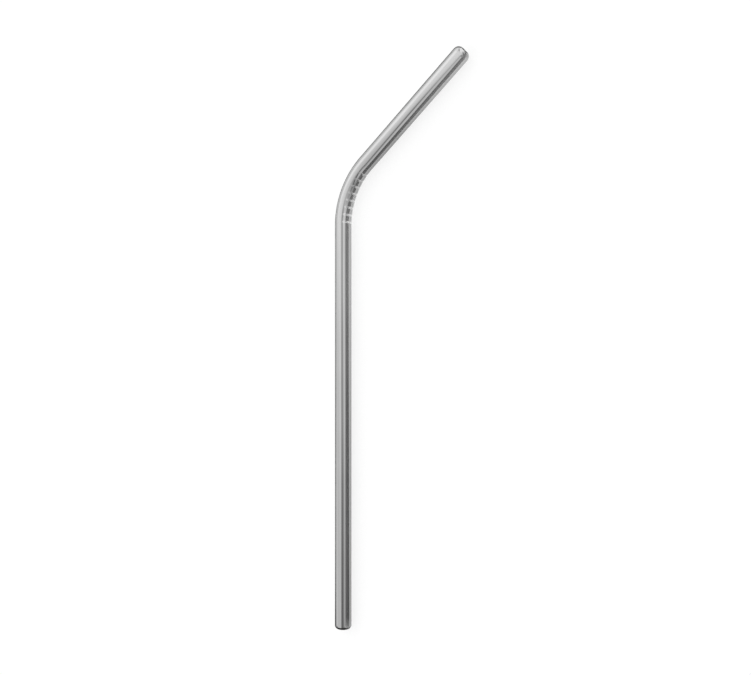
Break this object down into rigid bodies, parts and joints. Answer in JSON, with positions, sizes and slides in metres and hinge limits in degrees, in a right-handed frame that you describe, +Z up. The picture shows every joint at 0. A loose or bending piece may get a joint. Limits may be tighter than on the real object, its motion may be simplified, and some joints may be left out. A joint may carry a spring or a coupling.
{
  "type": "bent metal drinking straw",
  "caption": "Bent stainless steel drinking straw: one thin tube with a crimped bend, a rolled lip on the stem and a rounded nose on the drinking tip.",
  "frame": {"origin": "middle of the straw's outline in plan, on the surface it lies on", "axes": "+Y along the stem from its open end to the bend, +X to the side that the arm bends towards, +Z up, square to the plane of the bend"},
  "size_m": [0.053, 0.201, 0.006],
  "materials": {
    "steel": "polished stainless steel with fine lengthwise draw lines"
  },
  "bodies": {
    "root": {"straw_tube": "steel"}
  },
  "joints": []
}
